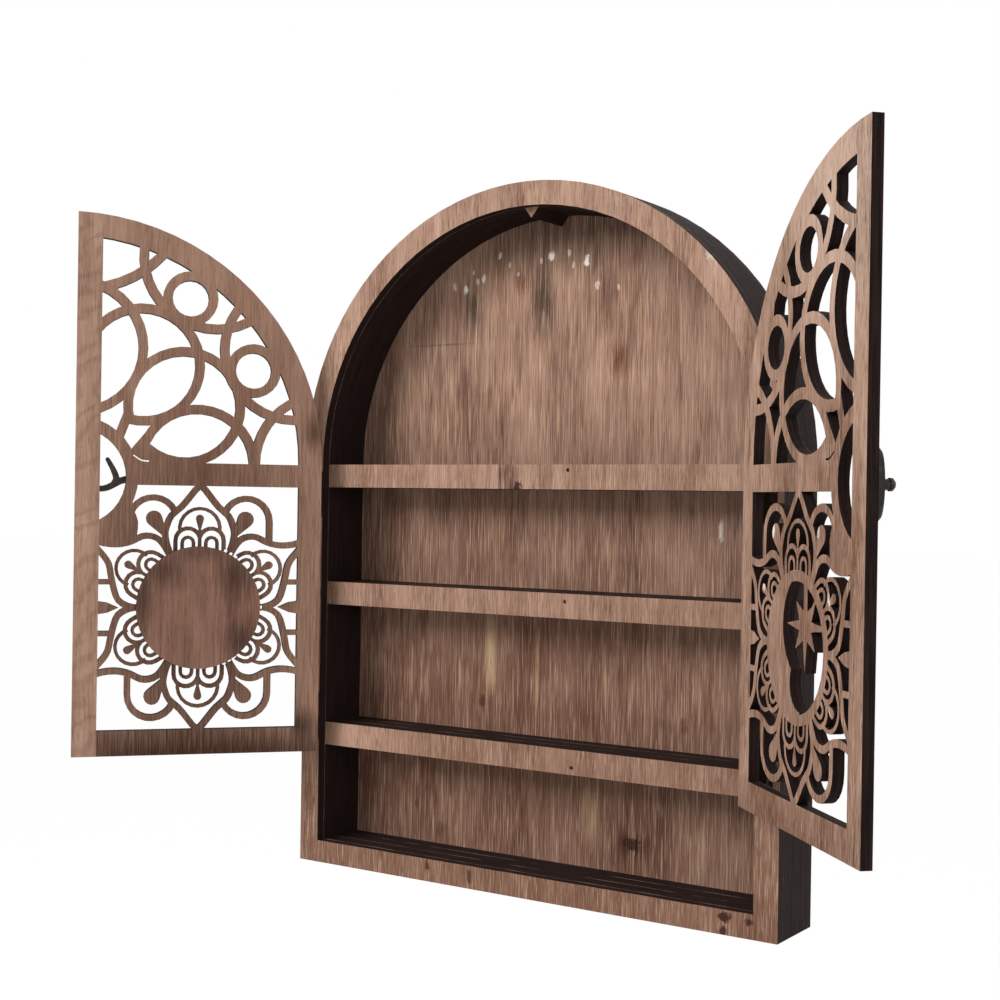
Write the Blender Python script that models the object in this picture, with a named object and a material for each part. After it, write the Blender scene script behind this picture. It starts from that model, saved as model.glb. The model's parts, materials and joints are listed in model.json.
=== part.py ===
"""Arched wall cabinet with two fretwork doors, four compartments and a hook latch.

Lengths are in millimetres until a mesh is made.  The front faces -Y, the wall
plane is Y = 0, and Z = 0 is the height of the two keyhole slots.
"""
import math

import bmesh
import bpy
from mathutils import Vector
from mathutils.geometry import delaunay_2d_cdt

MM = 0.001
FLAT = 0.12             # largest flat left on the arches
CHORD = 0.16            # the same in the fretwork
FINE = 0.04             # the same in metal
TRIM = 0.05             # bumps in an outline that are smaller than this are left out

# Carcass: five boards glued one behind the other
WIDTH = 316.0
HEIGHT = 400.0
STRIP = 13.5            # side strips and arch band
FOOT_RAIL = 13.0
FRONT_T = 5.8
LAYER_T = 10.7
BACK_T = 3.0
GLUE_GAP = 0.3
SHELF_H = 13.8
LOW_SHELF = 84.7        # top of the shelf above the open bottom compartment
MID_SHELF = 170.6
STOP_W = 12.5           # door stop under the crown
STOP_DROP = 5.9
HANG_H = 225.0          # keyholes above the foot
KEY_HEAD = 8.0
KEY_SLOT = 4.2
KEY_RISE = 7.0
POCKET_W = 9.4
POCKET_DEPTH = 6.0

# Doors
DOOR_T = 5.6
HINGE_GAP = 0.4
MEET_GAP = 0.5
ARCH_GAP = 1.1          # over the crown of the doors
DOOR_DROP = 15.8        # foot of the doors below the low shelf top
FREE_STILE = 14.0
RIM = 13.5              # arched rim and hinge stile
MID_RAIL = 13.5
RAIL_DROP = 1.0         # top of the middle rail below the springing
DOOR_RAIL = 14.7
OPEN_LEFT = 130.8
OPEN_RIGHT = 135.8

# Arch lattice
STRAP = 5.5
WINDOW_R = 28.4         # round window shared by the two doors at the latch
WINDOW_BAND = 7.0
WINDOW_DROP = 10.2      # below the springing
WINDOW_SHIFT = 1.0      # short of the line where the doors meet
RINGLET_HOLE = 10.6
RINGLET_BAND = 5.4
SLIT_W = 0.9            # thin gap over the middle rail, beside the window

# Mandala
HEART_R = 36.0
HEART_BAND = 5.2
PETAL_STRAP = 3.7
SCALLOP_R = 7.2
SCALLOP_OFF = 6.9       # from the axis of the petal
SCALLOP_STRAP = 2.4
CORE_R = 3.3            # small scallop inside
FINE_STRAP = 2.0
PIP_R = 2.3
PIP_L = 8.7
TIE_H = 3.0
STUB_L = 11.5
STUB_H = 7.4
DISC_R = 36.3
DISC_T = 2.2
DISC_SHIFT = 0.3        # towards the free edge
PERF_W = 1.6            # slots beside the disc, towards the hinge
PERF_L = 2.1
PERF_PITCH = 3.4
SEAT_GAP = 0.3

# Hinges
AXIS_OUT = 2.4          # hinge axis in front of the front face
LEAF_W = 10.0
LEAF_H = 25.0
LEAF_T = 0.8
KNUCKLE_R = 2.0
BORE_R = 1.1
PIN_R = 0.8
PIN_HEAD_R = 1.8
PIN_HEAD_T = 0.8
LOW_HINGE_UP = 20.6     # middle of the low hinge above the foot of the door
HIGH_HINGE_DROP = 18.0  # middle of the high hinge below the springing

# Latch
LATCH_OFF = 5.8         # pivot and stud from the line where the doors meet
LATCH_DROP = 11.6       # below the springing
PLATE_W = 9.6
PLATE_H = 32.0
PLATE_RIM = 1.6
PLATE_TOP = 3.6         # height of the plate boss
BOSS_R = 3.4
HOOK_T = 2.2
HOOK_BAR = 3.2          # hook at the eye
HOOK_TAIL = 4.2
HOOK_FORK = 4.4         # root of the upper prong
HOOK_TIP = 2.5
EYE_R = 3.5
SHANK_R = 1.3
NECK_R = 2.4
STUD_HEAD_R = 2.9
STUD_TOP = 9.5          # above the face of the door
RIVET_HEAD_R = 2.7
RIVET_HEAD_T = 1.2

# Derived sizes
HALF_W = WIDTH / 2
SPRING = HEIGHT - HALF_W
HALF_OPEN = HALF_W - STRIP
DEPTH = FRONT_T + 3 * LAYER_T + BACK_T + 4 * GLUE_GAP
DOOR_FOOT = LOW_SHELF - DOOR_DROP
DOOR_R = HALF_OPEN - ARCH_GAP
RIM_R = HALF_OPEN - HINGE_GAP
FREE_EDGE = HALF_OPEN - MEET_GAP
STILE_IN = FREE_EDGE - FREE_STILE
PANEL_IN = HINGE_GAP + RIM
RAIL_TOP = SPRING - RAIL_DROP
RAIL_FOOT = RAIL_TOP - MID_RAIL
PANEL_FOOT = DOOR_FOOT + DOOR_RAIL
PANEL_C = ((PANEL_IN + STILE_IN) / 2, (PANEL_FOOT + RAIL_FOOT) / 2)
PANEL_HW = (STILE_IN - PANEL_IN) / 2
PANEL_HH = (RAIL_FOOT - PANEL_FOOT) / 2
WINDOW_C = (HALF_OPEN - WINDOW_SHIFT, SPRING - WINDOW_DROP)
LATCH_H = SPRING - LATCH_DROP
FACE = AXIS_OUT         # outer face of a door, from its hinge axis


# Flat outlines

def arc(centre, radius, start, end, chord=CHORD):
    """Points on an arc, in degrees from the first axis."""
    step = 2 * math.acos(1 - chord / radius)
    count = 2 * max(1, math.ceil(abs(math.radians(end - start)) / step / 2))
    points = []
    for k in range(count + 1):
        a = math.radians(start + (end - start) * k / count)
        points.append((centre[0] + radius * math.cos(a), centre[1] + radius * math.sin(a)))
    return points


def circle(centre, radius, chord=CHORD):
    return arc(centre, radius, 0, 360, chord)[:-1]


def box(x0, x1, z0, z1):
    return [(x0, z0), (x1, z0), (x1, z1), (x0, z1)]


def arc_strap(centre, radius, start, end, width):
    outer = arc(centre, radius + width / 2, start, end)
    return outer + arc(centre, radius - width / 2, end, start)


def line_strap(points, width, end_width=None):
    """Band along a line of points, even or tapered to a width at the end."""
    left, right = [], []
    last = len(points) - 1
    grow = 0 if end_width is None else (end_width - width) / last
    for i, (x, z) in enumerate(points):
        x0, z0 = points[max(i - 1, 0)]
        x1, z1 = points[min(i + 1, last)]
        half = (width + grow * i) / 2 / math.hypot(x1 - x0, z1 - z0)
        nx, nz = (z0 - z1) * half, (x1 - x0) * half
        left.append((x + nx, z + nz))
        right.append((x - nx, z - nz))
    return left + right[::-1]


def smooth(points, count=4):
    """Even curve through a few points."""
    curve = []
    ends = [points[0]] + points + [points[-1]]
    for p0, p1, p2, p3 in zip(ends, ends[1:], ends[2:], ends[3:]):
        for k in range(count):
            t = k / count
            curve.append(tuple(blend(t, *values) for values in zip(p0, p1, p2, p3)))
    return curve + [points[-1]]


def blend(t, a, b, c, d):
    square = (2 * a - 5 * b + 4 * c - d) * t * t
    cube = (3 * b - a - 3 * c + d) * t ** 3
    return (2 * b + (c - a) * t + square + cube) / 2


def drop(base, end, radius):
    """Teardrop from a point to a round end."""
    dx, dz = base[0] - end[0], base[1] - end[1]
    reach = math.degrees(math.acos(radius / math.hypot(dx, dz)))
    aim = math.degrees(math.atan2(dz, dx))
    return [base] + arc(end, radius, aim + reach, aim + 360 - reach)


def polar(centre, angle, distance):
    a = math.radians(angle)
    return (centre[0] + distance * math.cos(a), centre[1] + distance * math.sin(a))


def arch_outline(inset, foot):
    """Arch-headed outline, inset from the sides and the crown."""
    radius = HALF_W - inset
    return [(-radius, foot), (radius, foot)] + arc((0, SPRING), radius, 0, 180, FLAT)


# Regions: outlines added and cut, kept as loops

def area(loop):
    pairs = zip(loop, loop[1:] + loop[:1])
    return sum(a[0] * b[1] - b[0] * a[1] for a, b in pairs) / 2


def turned_left(a, b, c):
    return (b[0] - a[0]) * (c[1] - a[1]) - (c[0] - a[0]) * (b[1] - a[1])


def triangles_of(outlines):
    """Triangles over all outlines, each with the outlines that hold it."""
    points, faces = [], []
    for outline in outlines:
        start = len(points)
        turn = 1 if area(outline) > 0 else -1
        points += [Vector(p) for p in outline[::turn]]
        faces.append(list(range(start, len(points))))
    result = delaunay_2d_cdt(points, [], faces, 0, 1e-4, True)
    flat = [tuple(p) for p in result[0]]
    cells = []
    for cell, owners in zip(result[2], result[5]):
        cell = list(cell)
        if turned_left(*(flat[i] for i in cell)) < 0:
            cell.reverse()
        cells.append((cell, set(owners)))
    return flat, cells


def rim_edges(cells):
    edges = {(c[i], c[(i + 1) % 3]) for c in cells for i in range(3)}
    return [(a, b) for a, b in edges if (b, a) not in edges]


def region(added, cut=()):
    """Loops round the union of one list of outlines less another."""
    flat, cells = triangles_of(list(added) + list(cut))
    count = len(added)
    kept = [c for c, own in cells if own and max(own) < count]
    following = dict(rim_edges(kept))
    loops = []
    while following:
        first, at = following.popitem()
        chain = [first]
        while at != first:
            chain.append(at)
            at = following.pop(at)
        loop = straighten([flat[i] for i in chain])
        if abs(area(loop)) > 0.6:
            loops.append(loop)
    return loops


def straighten(loop):
    """Drop points that lie on a straight run or close to the one before."""
    kept = []
    for i, p in enumerate(loop):
        before = kept[-1] if kept else loop[-1]
        after = loop[(i + 1) % len(loop)]
        span = math.dist(before, after)
        if math.dist(before, p) > TRIM and abs(turned_left(before, p, after)) > TRIM * span:
            kept.append(p)
    return kept


# Solids

def finish(name, mesh, colour, parent=None):
    bmesh.ops.recalc_face_normals(mesh, faces=mesh.faces)
    data = bpy.data.meshes.new(name)
    mesh.to_mesh(data)
    mesh.free()
    thing = bpy.data.objects.new(name, data)
    bpy.context.scene.collection.objects.link(thing)
    data.materials.append(material(name, colour))
    thing.parent = parent
    return thing


def material(name, colour):
    made = bpy.data.materials.new(name)
    made.use_nodes = True
    shader = made.node_tree.nodes["Principled BSDF"]
    shader.inputs["Base Color"].default_value = (*colour, 1.0)
    shader.inputs["Roughness"].default_value = 0.55
    return made


def slab_cells(cells, loops, first):
    """Cells inside a slab whose loops start at one place in the list."""
    outer = {first + i for i, loop in enumerate(loops) if area(loop) > 0}
    holes = set(range(first, first + len(loops))) - outer
    return [c for c, own in cells if own & outer and not own & holes]


def stack(name, slabs, colour, upright=False, parent=None):
    """Solid of slabs (start, end, loops) laid on one another.

    The outlines lie in XZ and build up along Y, or in XY along Z when upright.
    """
    flat, cells = triangles_of([loop for _, _, loops in slabs for loop in loops])
    layers, first = [], 0
    for _, _, loops in slabs:
        layers.append(slab_cells(cells, loops, first))
        first += len(loops)
    levels = [slabs[0][0]] + [end for _, end, _ in slabs]
    lids = [ones_apart(low, high) for low, high in zip([[]] + layers, layers + [[]])]
    walls = wall_runs(layers)
    used = {(i, k) for k, lid in enumerate(lids) for cell in lid for i in cell}
    used |= {(i, k) for a, b, low, high in walls for i in (a, b) for k in (low, high)}
    mesh = bmesh.new()
    made = {}
    for i, k in sorted(used):
        x, b = flat[i]
        place = (x, b, levels[k]) if upright else (x, levels[k], b)
        made[i, k] = mesh.verts.new(Vector(place) * MM)
    for k, lid in enumerate(lids):
        for cell in lid:
            mesh.faces.new([made[i, k] for i in cell])
    for a, b, low, high in walls:
        span = range(low, high + 1)
        rise = [made[b, k] for k in span if (b, k) in made]
        fall = [made[a, k] for k in reversed(span) if (a, k) in made]
        mesh.faces.new(rise + fall)
    return finish(name, mesh, colour, parent)


def wall_runs(layers):
    """Rim edges with the first and last level that each one spans."""
    runs, live = [], {}
    for k, cells in enumerate(layers + [[]]):
        edges = set(rim_edges(cells))
        for edge in sorted(set(live) - edges):
            runs.append((*edge, live.pop(edge), k))
        for edge in edges:
            live.setdefault(edge, k)
    return runs


def ones_apart(below, here):
    """Cells that only one of two neighbouring slabs has."""
    low = {tuple(c) for c in below}
    high = {tuple(c) for c in here}
    return sorted(low ^ high)


def turned(name, profile, colour, parent=None, segments=20):
    """Round solid about the local Z axis from points (radius, height)."""
    rings = [[(r * math.cos(a), r * math.sin(a), h) for a in even_turn(segments)]
             for r, h in profile]
    mesh = bmesh.new()
    rows = [[mesh.verts.new(Vector(p) * MM) for p in ring] for ring in rings]
    bridge(mesh, rows)
    mesh.faces.new(rows[0])
    mesh.faces.new(rows[-1])
    return finish(name, mesh, colour, parent)


def even_turn(segments):
    return [2 * math.pi * k / segments for k in range(segments)]


def bridge(mesh, rows):
    for low, high in zip(rows, rows[1:]):
        for k in range(len(low)):
            n = (k + 1) % len(low)
            mesh.faces.new([low[k], low[n], high[n], high[k]])


# Carcass

OAK = (0.36, 0.21, 0.14)
DARK_OAK = (0.22, 0.12, 0.075)
BRONZE = (0.03, 0.026, 0.022)


def carcass_board(name, depth, slabs, colour):
    """Board with its front at a depth behind the front face."""
    placed = [(a, b, [drop_to_hang(loop) for loop in loops]) for a, b, loops in slabs]
    board = stack(name, placed, colour)
    board.location = (0, (depth - DEPTH) * MM, 0)
    return board


def drop_to_hang(loop):
    return [(x, z - HANG_H) for x, z in loop]


def compartments():
    """Openings between the shelves, from the foot up."""
    tops = (LOW_SHELF, MID_SHELF, SPRING)
    floors = (FOOT_RAIL,) + tops
    spaces = [box(-HALF_OPEN, HALF_OPEN, low, top - SHELF_H) for low, top in zip(floors, tops)]
    return spaces + [arch_outline(STRIP, SPRING)]


def key_places():
    """Middles of the two side strips."""
    return (-HALF_W + STRIP / 2, HALF_W - STRIP / 2)


def key_heads():
    """Round feet of the keyholes, where the screw heads pass."""
    return [circle((x, HANG_H - KEY_RISE), KEY_HEAD / 2, FINE) for x in key_places()]


def key_slots():
    """Slots above the round feet, for the screw shanks."""
    cuts = []
    half, foot = KEY_SLOT / 2, HANG_H - KEY_RISE
    for x in key_places():
        head = arc((x, HANG_H), half, 0, 180, FINE)
        cuts.append(head + [(x - half, foot), (x + half, foot)])
    return cuts


def pockets():
    """Room in front of the slots for the heads of the two wall screws."""
    cuts = []
    half, foot = POCKET_W / 2, HANG_H - KEY_RISE
    for x in key_places():
        head = arc((x, HANG_H), half, 0, 180, FINE)
        cuts.append(head + arc((x, foot), half, 180, 360, FINE))
    return cuts


def build_carcass():
    outline = arch_outline(0, 0)
    frame = region([outline], [arch_outline(STRIP, FOOT_RAIL)])
    carcass_board("front_frame", 0, [(0, FRONT_T, frame)], OAK)
    crown = HEIGHT - STRIP
    stop = [(-STOP_W / 2, crown + 2), (0, crown - STOP_DROP), (STOP_W / 2, crown + 2)]
    depth = FRONT_T + GLUE_GAP
    spaces = compartments_round(stop)
    plain = region([outline], spaces)
    carcass_board("shelf_layer_front", depth, [(0, LAYER_T, plain)], OAK)
    depth += LAYER_T + GLUE_GAP
    carcass_board("shelf_layer_middle", depth, [(0, LAYER_T, plain)], OAK)
    depth += LAYER_T + GLUE_GAP
    pocketed = region([outline], spaces + pockets())
    solid = LAYER_T - POCKET_DEPTH
    carcass_board("shelf_layer_rear", depth, [(0, solid, plain), (solid, LAYER_T, pocketed)], OAK)
    depth += LAYER_T + GLUE_GAP
    panel = region([outline], key_heads() + key_slots())
    carcass_board("back_panel", depth, [(0, BACK_T, panel)], DARK_OAK)


def compartments_round(stop):
    """Compartments with the arch notched round the door stop."""
    spaces = compartments()
    arch = region([spaces[-1]], [stop])
    return spaces[:-1] + arch


# Door fretwork, in (distance from the hinge axis, height above the foot)

ARCH_C = (HALF_OPEN, SPRING)
RIM_C = (HALF_OPEN, SPRING + DOOR_R - RIM_R)

# Lattice rings: angle and distance from the centre of the arch, radius and the
# stretch that is left standing, with distances as shares of the door radius
INNER_ROW = (
    (181.8, 0.492, 0.230, 0, 188),
    (152.9, 0.490, 0.2275, -18, 312),
    (124.3, 0.473, 0.230, 35, 285),
)
OUTER_ROW = (
    (180.2, 1.020, 0.292, 359, 428),
    (152.1, 0.999, 0.287, 260, 404),
    (123.5, 1.003, 0.289, 232, 375),
)
RINGLETS = ((152.0, 0.811), (124.2, 0.809))
CROWN = (0.457, 0.267)
CROWN_OUTER = (1.137, 0.449)


def door_frame():
    """Rim, stiles and rails of a door."""
    rim = arc(RIM_C, RIM_R, 90, 180, FLAT) + arc(RIM_C, RIM_R - RIM, 180, 90, FLAT)
    springing = RIM_C[1]
    return [
        [(min(u, FREE_EDGE), z) for u, z in rim],
        box(STILE_IN, FREE_EDGE, DOOR_FOOT, springing + RIM_R - RIM / 2),
        box(HINGE_GAP, PANEL_IN, DOOR_FOOT, springing),
        box(HINGE_GAP, FREE_EDGE, DOOR_FOOT, PANEL_FOOT),
        box(HINGE_GAP, FREE_EDGE, RAIL_FOOT, RAIL_TOP),
    ]


def lattice():
    """Interlaced rings that fill the arch of a door."""
    straps = []
    for angle, distance, radius, start, end in INNER_ROW + OUTER_ROW:
        centre = polar(ARCH_C, angle, distance * DOOR_R)
        straps += ring_straps(centre, radius * DOOR_R, start, end)
    straps.append(stile_strap(CROWN))
    straps.append(crown_outer())
    for angle, distance in RINGLETS:
        straps.append(circle(polar(ARCH_C, angle, distance * DOOR_R), RINGLET_HOLE + RINGLET_BAND))
    return straps + window_straps()


def ring_straps(centre, radius, start, end):
    """A ring in two halves, so that each outline stays simple."""
    middle = (start + end) / 2
    halves = ((start, middle), (middle, end))
    return [arc_strap(centre, radius, a, b, STRAP) for a, b in halves]


def window_straps():
    """Band round the latch window and its three ties to the nearest rings."""
    band = WINDOW_R + WINDOW_BAND / 2
    straps = [arc_strap(WINDOW_C, band, 110, 250, WINDOW_BAND)]
    for row, leave, arrive in ((1, -8, 137), (1, -72, 158), (0, 30, 160)):
        angle, distance, radius = INNER_ROW[row][:3]
        ring = polar(ARCH_C, angle, distance * DOOR_R)
        ends = [polar(ring, leave, radius * DOOR_R), polar(WINDOW_C, arrive, band)]
        straps.append(line_strap(ends, STRAP))
    return straps


def rail_slit():
    """Thin curved gap that is left between the ties and the middle rail."""
    run = WINDOW_C[0] - WINDOW_R - WINDOW_BAND
    line = [(run + 3.0, RAIL_TOP + 4.0), (run - 1.6, RAIL_TOP + 1.1), (run - 6.2, RAIL_TOP + 0.6)]
    return line_strap(smooth(line, 3), SLIT_W)


def stile_strap(shares):
    """Ring about the meeting line, run out in the stile."""
    distance, radius = (share * DOOR_R for share in shares)
    half = math.degrees(math.acos(FREE_STILE / 2 / radius))
    return arc_strap((HALF_OPEN, SPRING + distance), radius, 180 - half, 180 + half, STRAP)


def crown_outer():
    """Arc hung from the rim to the stile below the crown."""
    distance, radius = (share * DOOR_R for share in CROWN_OUTER)
    run_out = DOOR_R - RIM / 2
    turn = (distance ** 2 + radius ** 2 - run_out ** 2) / (2 * distance * radius)
    start = 270 - math.degrees(math.acos(turn))
    end = 270 - math.degrees(math.asin(FREE_STILE / 2 / radius))
    return arc_strap((HALF_OPEN, SPRING + distance), radius, start, end, STRAP)


def lattice_holes():
    """Window and ringlet holes, cut after the straps are joined."""
    half = math.degrees(math.acos((WINDOW_C[0] - STILE_IN) / WINDOW_R))
    holes = [arc(WINDOW_C, WINDOW_R, 180 - half, 180 + half)]
    for angle, distance in RINGLETS:
        holes.append(circle(polar(ARCH_C, angle, distance * DOOR_R), RINGLET_HOLE))
    return holes + [rail_slit()]


# Petal lines: share of the way from the heart to the panel edge, and the
# angle from the axis of the petal
TIP_LINE = ((1.03, -0.5), (0.93, 2.5), (0.80, 6.1), (0.68, 10.4), (0.58, 17.0), (0.47, 21.0),
            (0.35, 24.6), (0.2, 26.8), (0.06, 28.0), (-0.08, 28.5))
OVER_LINE = ((1.22, 2.6), (1.0, 4.2), (0.80, 7.5), (0.67, 11.9), (0.61, 16.0), (0.565, 21.5),
             (0.475, 26.0), (0.34, 29.4), (0.15, 30.5), (-0.08, 30.5))
SIDE_LINE = ((1.15, -1.5), (1.0, 0.0), (0.86, 1.4), (0.71, 4.1), (0.60, 9.2), (0.515, 14.0),
             (0.44, 19.1), (0.35, 24.6), (0.2, 28.2), (0.05, 30.0), (-0.08, 30.0))


def petal_line(axis, side, line, reach):
    points = []
    for share, angle in line:
        points.append(polar(PANEL_C, axis + side * angle, HEART_R + share * (reach - HEART_R)))
    return line_strap(smooth(points, 2), PETAL_STRAP)


def petals():
    """Ogee lines of six petals, two upright and four that end in the stiles."""
    lines = []
    side_reach = PANEL_HW / math.cos(math.radians(30))
    for axis in (90, 270):
        for side in (1, -1):
            lines.append(petal_line(axis, side, TIP_LINE, PANEL_HH))
    for axis, side in ((30, 1), (150, -1), (210, 1), (330, -1)):
        lines.append(petal_line(axis, side, OVER_LINE, side_reach))
        lines.append(petal_line(axis, -side, SIDE_LINE, side_reach))
    return lines


def at_petal(axis, outward, across):
    """Point in a petal, from the heart edge outward and across its axis."""
    base = polar(PANEL_C, axis, HEART_R + outward)
    return polar(base, axis + 90, across)


# Rise above the heart of the big scallops, the small ones, the arch, its
# radius and the pip, in the upright and the side petals
UPRIGHT_FILL = (3.6, 2.2, 10.8, 11.8, 16.7)
SIDE_FILL = (1.3, 0.9, 8.2, 10.4, 12.2)


def petal_filling(axis, fill):
    """Two double scallops, an arch over them and a pip."""
    big_up, small_up, arch_up, arch_r, pip_up = fill
    crest = big_up + SCALLOP_R * 0.9
    shapes = [line_strap([at_petal(axis, -2, 0), at_petal(axis, crest, 0)], FINE_STRAP)]
    for side in (1, -1):
        shapes += scallop(axis, side, big_up, small_up)
    over = arc(at_petal(axis, arch_up, 0), arch_r, axis + 103, axis - 103)
    shapes.append(line_strap(over, FINE_STRAP))
    shapes.append(drop(at_petal(axis, pip_up - PIP_L, 0), at_petal(axis, pip_up, 0), PIP_R))
    return shapes


def scallop(axis, side, big_up, small_up):
    """Large scallop with a small one inside it, both rooted in the heart."""
    off = SCALLOP_OFF * side
    turn = arc(at_petal(axis, big_up, off), SCALLOP_R, axis + 90 * side, axis - 74 * side)
    root = at_petal(axis, -3.5, off + SCALLOP_R * side)
    core = arc(at_petal(axis, small_up, off), CORE_R, axis + 90, axis - 90)
    feet = [at_petal(axis, -2, off + CORE_R), at_petal(axis, -2, off - CORE_R)]
    return [line_strap([root] + turn, SCALLOP_STRAP),
            line_strap(feet[:1] + core + feet[1:], FINE_STRAP)]


def lobes():
    """Round lobes between the upright and the side petals, each with a drop.

    A lobe starts at the upright petal, turns level with its centre and runs straight
    to the line of the side petal.
    """
    shapes = []
    span = PANEL_HH - HEART_R
    for axis, turn, level in ((62.0, 1, 0), (118.0, -1, 180), (242.0, 1, 180), (298.0, -1, 360)):
        centre = polar(PANEL_C, axis, HEART_R + 0.61 * span)
        shapes.append(arc_strap(centre, 0.38 * span, level, axis + turn * 94, PETAL_STRAP))
        turned_at = polar(centre, level, 0.38 * span)
        inward = math.copysign(0.35 * span, PANEL_C[1] - centre[1])
        shapes.append(line_strap([turned_at, (turned_at[0], turned_at[1] + inward)], PETAL_STRAP))
        node = polar(PANEL_C, axis + turn * 3, HEART_R + 0.22 * span)
        shapes.append(drop(node, polar(PANEL_C, axis + turn, HEART_R + 0.635 * span), 0.13 * span))
    return shapes


def side_ties():
    """Leaf stub and two tie bars from each stile."""
    shapes = []
    centre, height = PANEL_C
    for side in (1, -1):
        edge = centre + side * PANEL_HW
        shapes.append(stub(side, edge, height))
        for up in (1, -1):
            middle = height + up * 0.21 * PANEL_HH
            bar = [(edge + side, middle), (centre + side * (PANEL_HW * 0.86), middle)]
            shapes.append(line_strap(bar, TIE_H))
    return shapes


def stub(side, edge, height):
    """Leaf-shaped point that stands out from a stile."""
    root, belly, tip = edge + side, edge - side * STUB_L * 0.45, edge - side * STUB_L
    half = STUB_H / 2
    low = [(root, height - half), (edge, height - half), (belly, height - half * 0.78)]
    return low + [(tip, height)] + [(u, 2 * height - z) for u, z in reversed(low)]


def mandala():
    shapes = petals() + lobes() + side_ties()
    for axis in (90, 270):
        shapes += petal_filling(axis, UPRIGHT_FILL)
    for axis in (31.5, 148.5, 211.5, 328.5):
        shapes += petal_filling(axis, SIDE_FILL)
    shapes.append(corner_block())
    return shapes


def corner_block():
    """Solid corner under the latch window, with a waved edge to the mandala."""
    edge, foot = PANEL_C[0] + 0.64 * PANEL_HW, PANEL_C[1] + 0.53 * PANEL_HH
    wide, high = STILE_IN - edge, RAIL_FOOT - foot
    wave = [(edge, RAIL_FOOT + 1), (edge + 0.1 * wide, foot + 0.66 * high),
            (edge - 0.06 * wide, foot + 0.36 * high), (edge, foot)]
    return [(STILE_IN + 1, foot), (STILE_IN + 1, RAIL_FOOT + 1)] + smooth(wave, 3)


def perforations():
    """Small slots beside the disc, where the petals meet on the hinge side."""
    slots = []
    inner = DISC_R - SEAT_GAP
    turn = math.degrees(PERF_PITCH / inner)
    half = math.degrees(PERF_L / inner) / 2
    for angle in (120, 180, 240):
        for k in (-1, 0, 1):
            slots.append(arc_strap(PANEL_C, inner + PERF_W / 2, angle + k * turn - half, angle + k * turn + half,
                                   PERF_W))
    return slots


def star(centre):
    """Eight-point star, with the long rays on the upright and the level."""
    points = []
    for k in range(4):
        points.append(polar(centre, 90 * k, 0.60 * HEART_R))
        points.append(polar(centre, 90 * k + 19.5, 0.2 * HEART_R))
        points.append(polar(centre, 90 * k + 45, 0.435 * HEART_R))
        points.append(polar(centre, 90 * k + 70.5, 0.2 * HEART_R))
    return points


def moon():
    """Crescent on the hinge side of the heart."""
    inner = HEART_R - HEART_BAND / 2
    star_c = (PANEL_C[0] + 0.26 * HEART_R, PANEL_C[1] + 0.28 * HEART_R)
    foot_c = (PANEL_C[0] + 0.16 * HEART_R, PANEL_C[1] - 0.46 * HEART_R)
    outer = arc(PANEL_C, inner, 100, 276)
    hollow = arc(foot_c, 0.36 * HEART_R, 268, 152)
    bite = arc(star_c, 0.71 * HEART_R, 237, 126)
    return outer + hollow + bite


def moon_and_star():
    centre = (PANEL_C[0] + 0.285 * HEART_R, PANEL_C[1] + 0.297 * HEART_R)
    ring_in = HEART_R - HEART_BAND / 2
    bar_top = PANEL_C[1] + math.sqrt(ring_in ** 2 - (centre[0] - PANEL_C[0]) ** 2)
    bar = box(centre[0] - 0.058 * HEART_R, centre[0] + 0.058 * HEART_R, centre[1], bar_top)
    ray_end = PANEL_C[0] + math.sqrt(ring_in ** 2 - (centre[1] - PANEL_C[1]) ** 2)
    wide, thin = 0.072 * HEART_R, 0.028 * HEART_R
    low = [(centre[0], centre[1] - wide), (ray_end, centre[1] - thin)]
    ray = low + [(u, 2 * centre[1] - z) for u, z in reversed(low)]
    slant = line_strap([centre, polar(centre, 47, 0.46 * HEART_R)], FINE_STRAP)
    return [moon(), star(centre), bar, ray, slant]


def heart():
    """Ring at the middle of the mandala in two halves."""
    radius = HEART_R - HEART_BAND / 2
    return [arc_strap(PANEL_C, radius, a, a + 180, HEART_BAND) for a in (0, 180)]


def fretwork(extra, cut=()):
    """Loops of a whole door."""
    added = door_frame() + lattice() + mandala() + heart() + extra
    return region(added, lattice_holes() + list(cut))


def hung(name, side, angle, slabs, colour):
    """Door with its origin on the hinge axis, opened by an angle."""
    turned_slabs = [(a, b, [face_to(side, loop) for loop in loops]) for a, b, loops in slabs]
    door = stack(name, turned_slabs, colour)
    door.location = (-side * HALF_OPEN * MM, -(DEPTH + AXIS_OUT) * MM, 0)
    door.rotation_euler = (0, 0, -side * math.radians(angle))
    return door


def face_to(side, loop):
    """Put heights on the hanging height and mirror the right door."""
    placed = [(side * u, z - HANG_H) for u, z in loop]
    return placed if side > 0 else placed[::-1]


def build_left_door():
    whole = fretwork([], perforations())
    back = FACE + DOOR_T
    floor = back - DISC_T - SEAT_GAP
    middle = (PANEL_C[0] + DISC_SHIFT, PANEL_C[1])
    outlines = [loop for loop in whole if area(loop) > 0]
    holes = [loop for loop in whole if area(loop) < 0]
    recessed = region(outlines, holes + [circle(middle, DISC_R + SEAT_GAP)])
    door = hung("left_door", 1, OPEN_LEFT, [(FACE, floor, whole), (floor, back, recessed)], OAK)
    disc = [face_to(1, circle(middle, DISC_R))]
    stack("sun_disc", [(floor + SEAT_GAP, back, disc)], DARK_OAK, parent=door)
    return door


def build_right_door():
    whole = fretwork(moon_and_star())
    return hung("right_door", -1, OPEN_RIGHT, [(FACE, FACE + DOOR_T, whole)], OAK)


# Hinges

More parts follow.
